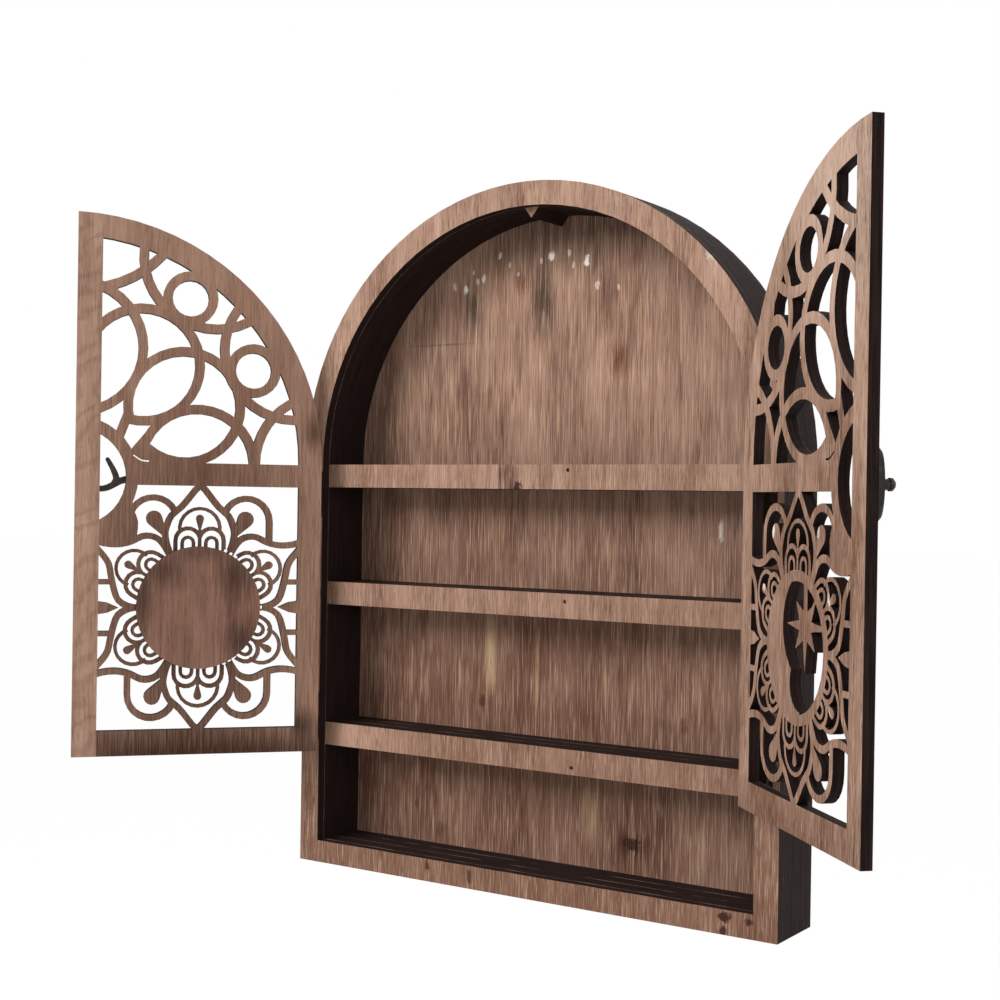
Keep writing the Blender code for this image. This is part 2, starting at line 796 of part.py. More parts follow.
def leaf(name, side, knuckled, colour, parent=None):
    """Leaf with rolled knuckles at the marked thirds, about the local Z axis."""
    inner = AXIS_OUT - SEAT_GAP - LEAF_T
    outer = AXIS_OUT - SEAT_GAP
    clear = KNUCKLE_R + SEAT_GAP
    plate = side_box(side, clear, LEAF_W, inner, outer)
    roll = circle((0, 0), KNUCKLE_R, FINE)
    bore = circle((0, 0), BORE_R, FINE)
    rolled = region([side_box(side, 0, LEAF_W, inner, outer), roll], [bore])
    third = LEAF_H / 3
    slabs = []
    for k in range(3):
        low, high = -LEAF_H / 2 + k * third, -LEAF_H / 2 + (k + 1) * third
        slabs += third_slabs(low, high, rolled if knuckled[k] else [plate], k, [plate])
    return stack(name, slabs, colour, upright=True, parent=parent)


def third_slabs(low, high, loops, k, plate):
    """One third of a leaf, with play at the ends that meet another knuckle."""
    play = SEAT_GAP / 2
    parts = []
    if k > 0:
        parts.append((low, low + play, plate))
        low += play
    if k < 2:
        return parts + [(low, high - play, loops), (high - play, high, plate)]
    return parts + [(low, high, loops)]


def side_box(side, near, far, y0, y1):
    return box(near, far, y0, y1) if side > 0 else box(-far, -near, y0, y1)


def hinge(name, side, height, door):
    """Butt hinge with one leaf on the frame, one on the door and a pin."""
    axis = (-side * HALF_OPEN * MM, -(DEPTH + AXIS_OUT) * MM, (height - HANG_H) * MM)
    fixed = leaf(name + "_frame_leaf", -side, (True, False, True), BRONZE)
    fixed.location = axis
    moving = leaf(name + "_door_leaf", side, (False, True, False), BRONZE, door)
    moving.location = (0, 0, axis[2])
    half = LEAF_H / 2 + SEAT_GAP
    tip = half + PIN_HEAD_T
    profile = [(PIN_HEAD_R, -tip), (PIN_HEAD_R, -half), (PIN_R, -half), (PIN_R, half),
               (PIN_HEAD_R, half), (PIN_HEAD_R, tip)]
    pin = turned(name + "_pin", profile, BRONZE, segments=14)
    pin.location = axis


# Latch, seen on the outer face of the closed doors

def plate(name, side, door):
    """Oval plate that rises to a boss with a hole for a shank."""
    half_w, half_h = PLATE_W / 2, PLATE_H / 2
    hole = SHANK_R + SEAT_GAP
    rise = PLATE_TOP - PLATE_RIM
    profile = [(half_w, half_h, 0), (half_w, half_h, PLATE_RIM),
               (half_w * 0.93, half_h * 0.9, PLATE_RIM + rise * 0.7),
               (BOSS_R * 1.1, BOSS_R * 2.1, PLATE_RIM + rise * 0.85), (BOSS_R, BOSS_R, PLATE_TOP),
               (hole, hole, PLATE_TOP), (hole, hole, 0)]
    mesh = bmesh.new()
    rows = []
    for a, b, up in profile:
        ring = [(a * math.cos(t), -up, b * math.sin(t)) for t in even_turn(28)]
        rows.append([mesh.verts.new(Vector(p) * MM) for p in ring])
    bridge(mesh, rows + rows[:1])
    made = finish(name, mesh, BRONZE, door)
    made.location = on_face(side, SEAT_GAP)
    return made


def on_face(side, height):
    """Place on the outer face of a door at the latch, above the face."""
    reach = HALF_OPEN - LATCH_OFF
    return Vector((side * reach, FACE - height, LATCH_H - HANG_H)) * MM


def round_part(name, profile, side, door):
    """Turned part that stands out from the face of a door."""
    made = turned(name, profile, BRONZE, door, segments=18)
    made.rotation_euler = (math.radians(90), 0, 0)
    made.location = on_face(side, 0)
    return made


def hook_loops():
    """Forked hook thrown back to the hinge side, pivot at the origin."""
    bar = smooth([(-1.5, -1.8), (-5.2, -4.5), (-9.5, -5.4), (-13.4, -4.6), (-17.6, -2.4),
                  (-20.5, -0.7), (-23.4, 0.2)], 3)
    prong = smooth([(-17.4, -2.2), (-18.3, 1.2), (-16.1, 6.8), (-13.2, 11.9)], 3)
    ends = [circle((0, 0), EYE_R, FINE), circle(prong[-1], HOOK_TIP / 2, FINE),
            circle(bar[-1], HOOK_TAIL / 2, FINE)]
    strips = [line_strap(bar, HOOK_BAR, HOOK_TAIL), line_strap(prong, HOOK_FORK, HOOK_TIP)]
    return region(strips + ends, [circle((0, 0), SHANK_R + SEAT_GAP, FINE)])


def build_latch(left, right):
    plate("latch_pivot_plate", 1, left)
    plate("latch_stud_plate", -1, right)
    boss = SEAT_GAP + PLATE_TOP
    low = boss + SEAT_GAP
    high = low + HOOK_T
    hook = stack("latch_hook", [(-high, -low, hook_loops())], BRONZE, parent=left)
    hook.location = on_face(1, 0)
    head = high + SEAT_GAP
    rivet = [(SHANK_R, SEAT_GAP), (SHANK_R, head), (RIVET_HEAD_R, head),
             (RIVET_HEAD_R * 0.86, head + RIVET_HEAD_T * 0.6),
             (RIVET_HEAD_R * 0.45, head + RIVET_HEAD_T)]
    round_part("latch_rivet", rivet, 1, left)
    stud = [(SHANK_R, SEAT_GAP), (SHANK_R, low), (NECK_R, low), (NECK_R, head),
            (STUD_HEAD_R, head + SEAT_GAP), (STUD_HEAD_R, head + (STUD_TOP - head) * 0.6),
            (STUD_HEAD_R * 0.6, STUD_TOP)]
    round_part("latch_stud", stud, -1, right)


def build():
    for thing in list(bpy.data.objects):
        bpy.data.objects.remove(thing)
    build_carcass()
    left = build_left_door()
    right = build_right_door()
    low = DOOR_FOOT + LOW_HINGE_UP
    high = SPRING - HIGH_HINGE_DROP
    for name, side, door in (("left", 1, left), ("right", -1, right)):
        hinge(name + "_low_hinge", side, low, door)
        hinge(name + "_high_hinge", side, high, door)
    build_latch(left, right)


build()
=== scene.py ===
"""Looks of an arched wall cabinet: stained plywood, burnt cut edges, dark metal."""
import json
import math

import bpy
from mathutils import Matrix, Vector

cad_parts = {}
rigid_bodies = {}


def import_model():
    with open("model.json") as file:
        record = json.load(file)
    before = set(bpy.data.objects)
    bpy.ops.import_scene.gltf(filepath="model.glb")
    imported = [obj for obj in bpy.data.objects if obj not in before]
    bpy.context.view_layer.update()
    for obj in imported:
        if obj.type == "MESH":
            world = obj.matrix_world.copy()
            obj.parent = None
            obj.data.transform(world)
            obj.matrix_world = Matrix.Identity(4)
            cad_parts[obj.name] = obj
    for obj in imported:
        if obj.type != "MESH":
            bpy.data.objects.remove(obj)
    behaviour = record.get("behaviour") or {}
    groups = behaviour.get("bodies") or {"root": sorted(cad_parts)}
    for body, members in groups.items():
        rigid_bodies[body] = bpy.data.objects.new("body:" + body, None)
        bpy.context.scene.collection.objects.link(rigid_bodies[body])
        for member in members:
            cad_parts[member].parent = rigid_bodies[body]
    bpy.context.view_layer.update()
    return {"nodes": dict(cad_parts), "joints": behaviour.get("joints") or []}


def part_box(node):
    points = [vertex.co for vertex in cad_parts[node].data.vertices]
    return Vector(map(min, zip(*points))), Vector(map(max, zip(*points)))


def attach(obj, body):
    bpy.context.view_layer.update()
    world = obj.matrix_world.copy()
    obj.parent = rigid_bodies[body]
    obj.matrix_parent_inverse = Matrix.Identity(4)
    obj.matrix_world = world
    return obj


for thing in list(bpy.data.objects):
    bpy.data.objects.remove(thing)
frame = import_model()
bpy.ops.object.select_all(action="DESELECT")


# Carcass boards: an arched front frame and three boards with the shelves in
# them, laser-cut from plywood, stained grey-brown and glued in a stack.  Cut
# edges are burnt nearly black, and the faces of the two hidden boards are
# painted near black as shade in the thin gaps between the boards.

def srgb(code):
    """Linear colour of an sRGB hex value."""
    parts = [int(code[i:i + 2], 16) / 255 for i in (1, 3, 5)]
    linear = [v / 12.92 if v <= 0.04045 else ((v + 0.055) / 1.055) ** 2.4 for v in parts]
    return (*linear, 1.0)


def add(tree, kind, inputs, **settings):
    """Adds a shader node with its settings, values and links."""
    node = tree.nodes.new("ShaderNode" + kind)
    for key, value in settings.items():
        setattr(node, key, value)
    for key, value in inputs.items():
        if isinstance(value, bpy.types.NodeSocket):
            tree.links.new(value, node.inputs[key])
        else:
            node.inputs[key].default_value = value
    return node


def grain(tree, place, across, along, seed, detail=3.0):
    """Noise drawn out along the upright grain, from its size in millimetres."""
    size = (1000 / across, 1000 / across, 1000 / along)
    start = (seed, seed * 0.7, seed * 0.3)
    drawn = add(tree, "Mapping", {"Vector": place, "Location": start, "Scale": size})
    noise = add(tree, "TexNoise", {"Vector": drawn.outputs[0], "Scale": 1.0, "Detail": detail,
                                   "Roughness": 0.55})
    return noise.outputs[0]


def laid_on(tree, colour, noise, start, full, tint, most):
    """Lays a tint over a colour where a noise passes from one value to another."""
    mask = add(tree, "MapRange", {"Value": noise, "From Min": start, "From Max": full, "To Max": most})
    return add(tree, "Mix", {0: mask.outputs[0], 6: colour, 7: srgb(tint)}, data_type="RGBA").outputs[2]


# A mark is soft if its half width is over this many millimetres, or if it is
# more than this many times as long as wide.
SOFT_SIZE = 6.5
LONG_SHAPE = 4.0


def marked(tree, place, noise, ragged, fade, colour, marks):
    """Knots, stains, flecks, painted shade and painted light: place, half width and half height in
    millimetres, tint and strength.
    """
    rim = 1.1 + ragged / 2
    for spot, across, along, tint, strength in marks:
        off = add(tree, "VectorMath", {0: place, 1: [-v / 1000 for v in spot]}, operation="ADD")
        size = (1000 / across, 1000 / across, 1000 / along)
        shaped = add(tree, "VectorMath", {0: off.outputs[0], 1: size}, operation="MULTIPLY")
        reach = add(tree, "VectorMath", {0: shaped.outputs[0]}, operation="LENGTH")
        rough = add(tree, "Math", {0: noise, 1: ragged, 2: reach.outputs["Value"]},
                    operation="MULTIPLY_ADD")
        colour = laid_on(tree, colour, rough.outputs[0], rim, rim - fade, tint, strength)
    return colour


# One ply and the breaks of the pale arris line, a painted highlight, in millimetres; the width of that line
# in metres.
PLY = 1.1
ARRIS_BREAKS = 24
ARRIS_WIDTH = 0.00045


def charred_edge_and_highlight(tree, where, facing, front, burnt, char, arris):
    """Charred cut edge: thin ply lines along the board, and a pale broken arris where it lies level: a
    painted highlight on edges that face up.
    """
    place = where.outputs["Object"]
    depth = add(tree, "VectorMath", {0: place, 1: facing}, operation="DOT_PRODUCT")
    plies = add(tree, "Math", {0: depth.outputs["Value"], 1: 1000 / PLY}, operation="MULTIPLY")
    across = add(tree, "VectorMath", {0: facing, "Scale": plies.outputs[0]}, operation="SCALE")
    lines = add(tree, "VectorMath", {0: place, 1: (35, 35, 35), 2: across.outputs[0]},
                operation="MULTIPLY_ADD")
    noise = add(tree, "TexNoise", {"Vector": lines.outputs[0], "Scale": 1.0, "Detail": 3.0,
                                   "Roughness": 0.6})
    edge = laid_on(tree, srgb(char), noise.outputs[0], 0.40, 0.72, burnt, 1.0)
    near = add(tree, "Math", {0: depth.outputs["Value"], 1: front, 2: ARRIS_WIDTH}, operation="COMPARE")
    broken = grain(tree, place, ARRIS_BREAKS, ARRIS_BREAKS, 5.0, 5.0)
    # Breaks in the painted highlight along the arris.
    worn = add(tree, "MapRange", {"Value": broken, "From Min": 0.43, "From Max": 0.62, "To Max": 0.9})
    line = add(tree, "Math", {0: near.outputs[0], 1: worn.outputs[0]}, operation="MULTIPLY")
    # Painted highlight: the pale arris shows only where the cut edge faces up.
    up = add(tree, "SeparateXYZ", {0: where.outputs["Normal"]})
    level = add(tree, "MapRange", {"Value": up.outputs["Z"], "From Min": 0.5, "From Max": 0.9})
    shown = add(tree, "Math", {0: line.outputs[0], 1: level.outputs[0]}, operation="MULTIPLY")
    return add(tree, "Mix", {0: shown.outputs[0], 6: edge, 7: srgb(arris)}, data_type="RGBA").outputs[2]


# Grain in millimetres, across and along.  Real fibres and pores are finer, and
# are drawn as coarse as they need to show.
CLOUD = (19, 75)
BAND = (4.2, 70)
FLECK = (0.7, 24)
FIBRE = (0.42, 14)
PORE = (0.38, 9)
PATCH = (11, 34)
STREAK = (0.5, 30)
SPECK = (1.6, 2.4)
# Where the mixed noise turns from the dark tone to the light one, how square to
# the board a surface stands to count as its face, and half a veneer seam in metres.
UNEVEN = (0.95, 2.13)
SQUARE_ON = 0.8
HALF_SEAM = 0.0005


def stained_plywood(name, facing, front, tones, edges, seed, marks=(), strip=None, fibres=0.4, pores=0.6,
                    streaks=0.0, fibre_size=FIBRE, pore_size=PORE):
    """Plywood with a matt brown stain.  The eye sees upright fibres, pores, streaks and a cloudy tint."""
    material = bpy.data.materials.new(name)
    material.use_nodes = True
    tree = material.node_tree
    shader = tree.nodes["Principled BSDF"]
    where = add(tree, "TexCoord", {})
    place = where.outputs["Object"]
    cloud = grain(tree, place, *CLOUD, seed, 1.5)
    band = grain(tree, place, *BAND, seed + 3, 1.0)
    fleck = grain(tree, place, *FLECK, seed + 5, 2.0)
    fibre = grain(tree, place, *fibre_size, seed + 7)
    pore = grain(tree, place, *pore_size, seed + 11)
    patch = grain(tree, place, *PATCH, seed + 17)

    dark, light, warm, pale, deep = tones
    uneven = add(tree, "Math", {0: cloud, 1: 1.2, 2: fleck}, operation="MULTIPLY_ADD")
    uneven = add(tree, "Math", {0: band, 1: 0.9, 2: uneven.outputs[0]}, operation="MULTIPLY_ADD")
    uneven = uneven.outputs[0]
    colour = laid_on(tree, srgb(dark), uneven, *UNEVEN, light, 1.0)
    colour = laid_on(tree, colour, patch, 0.46, 0.70, warm, 0.4)
    soft = [mark for mark in marks if mark[1] > SOFT_SIZE or mark[2] > LONG_SHAPE * mark[1]]
    colour = marked(tree, place, fleck, 0.9, 0.9, colour, soft)
    if strip:
        way, start, strip_dark, strip_light, figure = strip
        run = add(tree, "VectorMath", {0: place, 1: way}, operation="DOT_PRODUCT")
        beyond = add(tree, "MapRange", {"Value": run.outputs["Value"], "From Min": start - HALF_SEAM,
                                        "From Max": start + HALF_SEAM})
        other = laid_on(tree, srgb(strip_dark), uneven, *UNEVEN, strip_light, 1.0)
        slope = add(tree, "Mapping", {"Vector": place, "Scale": (-26, -26, 34)})
        rings = add(tree, "TexWave", {"Vector": slope.outputs[0], "Scale": 1.0, "Distortion": 9.0,
                                      "Detail": 3.0, "Detail Scale": 1.5}, bands_direction="DIAGONAL")
        other = laid_on(tree, other, rings.outputs["Fac"], 0.55, 1.0, deep, figure)
        colour = add(tree, "Mix", {0: beyond.outputs[0], 6: colour, 7: other}, data_type="RGBA").outputs[2]
    lit = add(tree, "Math", {0: patch, 1: 0.2, 2: fibre}, operation="MULTIPLY_ADD")
    colour = laid_on(tree, colour, lit.outputs[0], 0.64, 0.74, pale, fibres)
    sunk = add(tree, "Math", {0: cloud, 1: -0.2, 2: pore}, operation="MULTIPLY_ADD")
    colour = laid_on(tree, colour, sunk.outputs[0], 0.44, 0.54, deep, pores)
    if streaks:
        long_fibre = grain(tree, place, *STREAK, seed + 23)
        colour = laid_on(tree, colour, long_fibre, 0.61, 0.68, pale, streaks)
    speck = grain(tree, place, *SPECK, seed + 29)
    ragged = [mark for mark in marks if mark not in soft]
    colour = marked(tree, place, speck, 2.0, 0.5, colour, ragged)

    turn = add(tree, "VectorMath", {0: where.outputs["Normal"], 1: facing}, operation="DOT_PRODUCT")
    square = add(tree, "Math", {0: turn.outputs["Value"]}, operation="ABSOLUTE")
    face = add(tree, "Math", {0: square.outputs[0], 1: SQUARE_ON}, operation="GREATER_THAN").outputs[0]
    edge = charred_edge_and_highlight(tree, where, facing, front, *edges)
    whole = add(tree, "Mix", {0: face, 6: edge, 7: colour}, data_type="RGBA")
    tree.links.new(whole.outputs[2], shader.inputs["Base Color"])
    dull = add(tree, "MapRange", {"Value": fibre, "From Min": 0.3, "From Max": 0.7, "To Min": 0.62,
                                  "To Max": 0.8})
    tree.links.new(dull.outputs[0], shader.inputs["Roughness"])
    shader.inputs["Specular IOR Level"].default_value = 0.09
    relief = add(tree, "Math", {0: fibre, 1: pore}, operation="SUBTRACT")
    bump = add(tree, "Bump", {"Height": relief.outputs[0], "Strength": 0.3, "Distance": 0.0002})
    tree.links.new(bump.outputs[0], shader.inputs["Normal"])
    return material


def dress(node, material):
    """Gives a CAD node its finish."""
    slots = frame["nodes"][node].data.materials
    slots.clear()
    slots.append(material)


OUT = (0, -1, 0)
FRAME_TONES = ("#745240", "#C29F8B", "#B08A70", "#D2B4A0", "#4A2E23")
# Painted shade: the two hidden boards are near black, so the thin gaps between boards look shaded.
GAP_SHADE_TONES = ("#1F1615", "#2C201D", "#261B19", "#33251F", "#150E0E")
# Cut edge colours: burnt, charred, and the pale painted highlight on up-facing arrises.
CHAR_AND_HIGHLIGHT = ("#332422", "#211817", "#B59A84")
KNOT = "#3A1F17"
# Painted shade: the carcass darkens towards its foot, as less light reaches the bottom.
PAINTED_FOOT_SHADE = "#6E4A38"
frame_marks = (
    ((0.0, -42.1, -262.0), 900.0, 200.0, PAINTED_FOOT_SHADE, 0.8),
    ((128.2, -42.1, -215.8), 4.2, 3.4, KNOT, 0.95),
    ((127.8, -42.1, -223.0), 2.2, 3.0, KNOT, 0.9),
    ((142.0, -42.1, -216.3), 2.4, 2.2, KNOT, 0.9),
    ((-61.3, -42.1, -216.0), 1.8, 3.6, KNOT, 0.8),
    ((-31.5, -42.1, -218.0), 1.6, 5.0, KNOT, 0.7),
    ((-151.6, -42.1, -186.5), 4.0, 11.0, "#5A3B2F", 0.5),
    ((-150.0, -42.1, 30.0), 9.0, 40.0, "#7A5443", 0.6),
    ((117.8, -42.1, 126.6), 6.0, 5.0, "#DCCBBA", 0.6),
)
shelf_marks = (
    # Painted shade towards the foot, as on the frame.
    ((0.0, -36.0, -262.0), 900.0, 300.0, PAINTED_FOOT_SHADE, 0.65),
    ((-6.9, -36.0, 4.0), 3.4, 3.6, KNOT, 0.95),
    ((-12.5, -36.0, 10.0), 8.0, 16.0, "#65453A", 0.9),
    ((-18.6, -36.0, 10.0), 0.8, 12.0, KNOT, 0.9),
    ((26.3, -36.0, 13.9), 1.2, 1.2, "#2A1714", 1.0),
    ((25.7, -36.0, -59.0), 1.2, 1.2, "#2A1714", 1.0),
    ((31.5, -36.0, -150.2), 1.2, 1.2, "#2A1714", 1.0),
    ((-95.9, -36.0, -148.2), 0.8, 9.0, KNOT, 0.8),
    ((-118.0, -36.0, -147.0), 45.0, 20.0, "#C29D88", 0.55),
    ((-115.0, -36.0, 10.0), 45.0, 20.0, "#876553", 0.6),
    ((110.0, -36.0, -60.0), 50.0, 20.0, "#876553", 0.5),
)
board_marks = {"front_frame": frame_marks, "shelf_layer_front": shelf_marks}
boards = ("front_frame", "shelf_layer_front", "shelf_layer_middle", "shelf_layer_rear")
for number, board in enumerate(boards):
    front = -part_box(board)[0].y
    tones = FRAME_TONES if board in board_marks else GAP_SHADE_TONES
    plywood = stained_plywood(board + "_plywood", OUT, front, tones, CHAR_AND_HIGHLIGHT, 13.0 * number,
                              board_marks.get(board, ()))
    dress(board, plywood)


# Back panel: one thin arched sheet behind the boards, with the same stain on a
# coarser veneer.  Light fibres stand out, and the finish is worn near the crown.

PANEL_TONES = ("#684639", "#BA9682", "#B4896C", "#D8B89E", "#3C231B")
WORN = "#F4ECE4"
# Dark grey near the crown: smudges, and across the very top a painted shade under the arch.
SMUDGE_AND_CROWN_SHADE = "#42342C"
PALE_GRAIN = "#C9A984"
panel_marks = (
    # Painted shade over the lower bays under the shelves, deepest towards the lower left.
    ((-70.0, -3.0, -150.0), 330.0, 200.0, "#5C3527", 0.68),
    ((53.6, -3.0, -196.0), 26.0, 24.0, "#5A3529", 0.7),
    ((53.6, -3.0, -196.0), 13.0, 8.0, "#3A2018", 0.9),
    ((52.0, -3.0, -195.5), 6.2, 4.2, "#2E1913", 0.85),
    ((83.7, -3.0, -126.7), 2.6, 6.0, "#55352A", 0.5),
    ((-50.9, -3.0, -123.1), 2.8, 5.0, "#44291F", 0.7),
    ((-99.1, -3.0, -189.7), 1.8, 2.6, "#44291F", 0.5),
    ((-80.6, -3.0, -203.4), 2.0, 6.0, "#55352A", 0.5),
    ((24.8, -3.0, -182.0), 7.0, 20.0, PALE_GRAIN, 0.4),
    ((-45.5, -3.0, -93.0), 5.0, 25.0, PALE_GRAIN, 0.95),
    ((-12.5, -3.0, -104.0), 1.6, 26.0, PALE_GRAIN, 0.7),
    ((104.2, -3.0, -18.2), 1.6, 6.0, WORN, 0.6),
    ((38.2, -3.0, 78.4), 8.0, 13.0, "#6A3F2C", 1.0),
    ((-26.6, -3.0, 125.5), 6.6, 9.0, "#734733", 0.8),
    ((-62.2, -3.0, 112.0), 9.0, 22.0, SMUDGE_AND_CROWN_SHADE, 0.9),
    ((-11.9, -3.0, 113.0), 10.0, 26.0, SMUDGE_AND_CROWN_SHADE, 0.9),
    # Painted shade across the crown, under the arch.
    ((0.0, -3.0, 152.0), 80.0, 28.0, SMUDGE_AND_CROWN_SHADE, 0.6),
    # Painted shade down the left side, beside the left reveal.
    ((-140.0, -3.0, 20.0), 60.0, 140.0, "#5C3F32", 0.6),
    ((-67.5, -3.0, 123.1), 1.6, 3.0, WORN, 0.9),
    ((-54.4, -3.0, 128.9), 1.3, 2.8, WORN, 0.7),
    ((-75.6, -3.0, 125.4), 1.4, 2.6, WORN, 0.5),
    ((-58.8, -3.0, 127.4), 1.2, 2.4, WORN, 0.5),
    ((-43.2, -3.0, 141.8), 1.3, 2.2, WORN, 0.6),
    ((-7.0, -3.0, 138.7), 2.2, 3.0, WORN, 0.9),
    ((16.9, -3.0, 134.5), 1.8, 3.6, WORN, 1.0),
    ((5.0, -3.0, 140.0), 1.2, 2.6, WORN, 0.5),
    ((8.0, -3.0, 133.0), 1.0, 2.2, WORN, 0.5),
    ((-30.0, -3.0, 130.0), 1.0, 1.6, WORN, 0.4),
    ((23.9, -3.0, 120.3), 1.6, 3.0, WORN, 0.4),
    ((-14.0, -3.0, 137.0), 0.9, 1.8, WORN, 0.5),
    ((-62.0, -3.0, 133.0), 0.8, 1.6, WORN, 0.5),
    ((-36.0, -3.0, 136.0), 0.8, 1.8, WORN, 0.5),
    ((38.0, -3.0, 118.0), 0.9, 2.0, WORN, 0.4),
    ((-0.8, -3.0, 48.0), 1.0, 20.0, PALE_GRAIN, 0.7),
    ((-20.3, -3.0, 84.0), 1.0, 15.0, PALE_GRAIN, 0.6),
    ((-85.0, -3.0, 90.7), 30.0, 0.8, "#5A3F33", 0.6),
)
PANEL_FIBRE = (0.42, 26)
PANEL_PORE = (0.36, 20)
front = -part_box("back_panel")[0].y
veneer = stained_plywood("back_panel_veneer", OUT, front, PANEL_TONES, CHAR_AND_HIGHLIGHT, 61.0, panel_marks, fibres=0.45,
                         pores=0.6, streaks=0.6, fibre_size=PANEL_FIBRE, pore_size=PANEL_PORE)
dress("back_panel", veneer)


# Doors: one fretwork board each, laser-cut, stained as the carcass and hung on
# two hinges.  The left one has a paler strip of veneer along its free stile.

# A door's two faces, in metres behind its hinge line when it is closed.
OUTER_FACE = 0.0024
INNER_FACE = 0.008


def door_way(joint):
    """Hinge point, unit vector to the free edge and outward normal of a door at rest."""
    start = Vector(joint["pos_m"])
    side = -joint["axis"][2]
    turn = Matrix.Rotation(-side * math.radians(-joint["range_deg"][0]), 3, "Z")
    return start, turn @ Vector((side, 0, 0)), turn @ Vector((0, -1, 0))


def on_inner_face(joint, reach, height):
    """Place on a door's inner face in millimetres, from its hinge and the hanging height."""
    start, along, out = door_way(joint)
    spot = (start + along * reach / 1000 - out * INNER_FACE) * 1000
    return (spot.x, spot.y, height)


joints = {joint["name"]: joint for joint in frame["joints"]}
# Door cut edge colours: burnt, charred, and a pale painted highlight on up-facing arrises.
DOOR_CHAR_AND_HIGHLIGHT = ("#33231F", "#170F0F", "#6A5040")

LEFT_TONES = ("#8A6756", "#B8947F", "#AC856E", "#C2A08B", "#573C30")
FREE_STILE = 0.130
left = joints["left_door_hinge"]
hinge, along, out = door_way(left)
left_marks = (
    (on_inner_face(left, 78, -70), 80.0, 140.0, "#462C22", 0.9),
    (on_inner_face(left, 60, 50), 66.0, 70.0, "#6E4A3B", 0.4),
    (on_inner_face(left, 70, -157), 170.0, 22.0, "#3A231B", 0.95),
    (on_inner_face(left, 5, 36), 7.5, 14.0, "#3A261E", 0.7),
    (on_inner_face(left, 10, -139), 9.0, 12.0, "#33211A", 0.8),
)
strip = (tuple(along), hinge.dot(along) + FREE_STILE, "#987462", "#C8A48E", 0.22)
left_plywood = stained_plywood("left_door_plywood", tuple(out), hinge.dot(out) - OUTER_FACE, LEFT_TONES,
                               DOOR_CHAR_AND_HIGHLIGHT, 83.0, left_marks, strip, fibres=0.2, pores=0.4)
dress("left_door", left_plywood)

RIGHT_TONES = ("#75543F", "#C8A592", "#AE8A72", "#D6BAA6", "#472C20")
right = joints["right_door_hinge"]
hinge, _, out = door_way(right)
GLINT = "#F2E9DF"
right_marks = (
    # Painted shade: the door darkens towards the bottom.
    (on_inner_face(right, 60, -156), 150.0, 26.0, "#6A4736", 0.8),
    (on_inner_face(right, 80, -50), 95.0, 130.0, "#6A4736", 0.6),
    # Painted light: the door is paler near the top.
    (on_inner_face(right, 115, 140), 80.0, 90.0, "#D2B8A6", 0.45),
    (on_inner_face(right, 41.8, -15.5), 2.2, 4.5, GLINT, 0.9),
    (on_inner_face(right, 95.1, -14.4), 1.8, 4.0, GLINT, 0.6),
    (on_inner_face(right, 31.3, -43.2), 1.6, 3.0, GLINT, 0.7),
    (on_inner_face(right, 108.1, -44.9), 1.6, 3.0, GLINT, 0.7),
    (on_inner_face(right, 110.0, -95.6), 1.6, 3.0, GLINT, 0.5),
)
right_plywood = stained_plywood("right_door_plywood", tuple(out), hinge.dot(out) - OUTER_FACE, RIGHT_TONES,
                                DOOR_CHAR_AND_HIGHLIGHT, 97.0, right_marks, fibres=0.5, pores=0.75)
dress("right_door", right_plywood)


# Sun disc: a thin round of veneered board let into the left door, darker than
# the door, with soft darker patches and one veneer joint.

DISC_TONES = ("#5E3E32", "#A7806F", "#94705B", "#A78472", "#422B25")
DISC_JOINT = 0.0387
hinge, along, out = door_way(left)
disc_marks = (
    (on_inner_face(left, 92, -48), 16.0, 14.0, "#3C2A23", 0.75),
    (on_inner_face(left, 50, -50), 14.0, 18.0, "#3C2A23", 0.75),
    (on_inner_face(left, 47, -90), 12.0, 16.0, "#3C2A23", 0.75),
    (on_inner_face(left, 105, -66), 7.0, 26.0, "#3C2A23", 0.75),
    (on_inner_face(left, 73, -36), 30.0, 8.0, "#46332B", 0.5),
)
beyond_joint = (tuple(-along), -(hinge.dot(along) + DISC_JOINT), "#7C5848", "#A37D69", 0.0)
disc_veneer = stained_plywood("sun_disc_veneer", tuple(out), hinge.dot(out) - INNER_FACE, DISC_TONES,
                              DOOR_CHAR_AND_HIGHLIGHT, 111.0, disc_marks, beyond_joint, fibres=0.3, pores=0.4)
dress("sun_disc", disc_veneer)


# Hinges: small butt hinges of pressed brass with a dark antique finish, a leaf
# screwed to the frame, a leaf screwed to the door and a pin between them.

# Rubbed clouds and grit of the patina in millimetres.
RUBBED = 3.5
GRIT = 0.5


def dark_bronze(name, base, worn, seed):
    """Brass with a dark patina: brown-black, satin, rubbed paler in small clouds."""
    material = bpy.data.materials.new(name)
    material.use_nodes = True
    tree = material.node_tree
    shader = tree.nodes["Principled BSDF"]
    place = add(tree, "TexCoord", {}).outputs["Object"]
    cloud = grain(tree, place, RUBBED, RUBBED, seed)
    grit = grain(tree, place, GRIT, GRIT, seed + 4)
    colour = laid_on(tree, srgb(base), cloud, 0.48, 0.75, worn, 0.6)
    tree.links.new(colour, shader.inputs["Base Color"])
    dull = add(tree, "MapRange", {"Value": grit, "From Min": 0.3, "From Max": 0.7, "To Min": 0.36,
                                  "To Max": 0.56})
    tree.links.new(dull.outputs[0], shader.inputs["Roughness"])
    bump = add(tree, "Bump", {"Height": grit, "Strength": 0.2, "Distance": 0.0002})
    tree.links.new(bump.outputs[0], shader.inputs["Normal"])
    shader.inputs["Metallic"].default_value = 0.8
    return material


hinge_bronze = dark_bronze("hinge_bronze", "#3A3028", "#6E5A44", 2.0)
hinges = [side + level for side in ("left_", "right_") for level in ("low_hinge_", "high_hinge_")]
for name in hinges:
    for part in ("frame_leaf", "door_leaf", "pin"):
        dress(name + part, hinge_bronze)


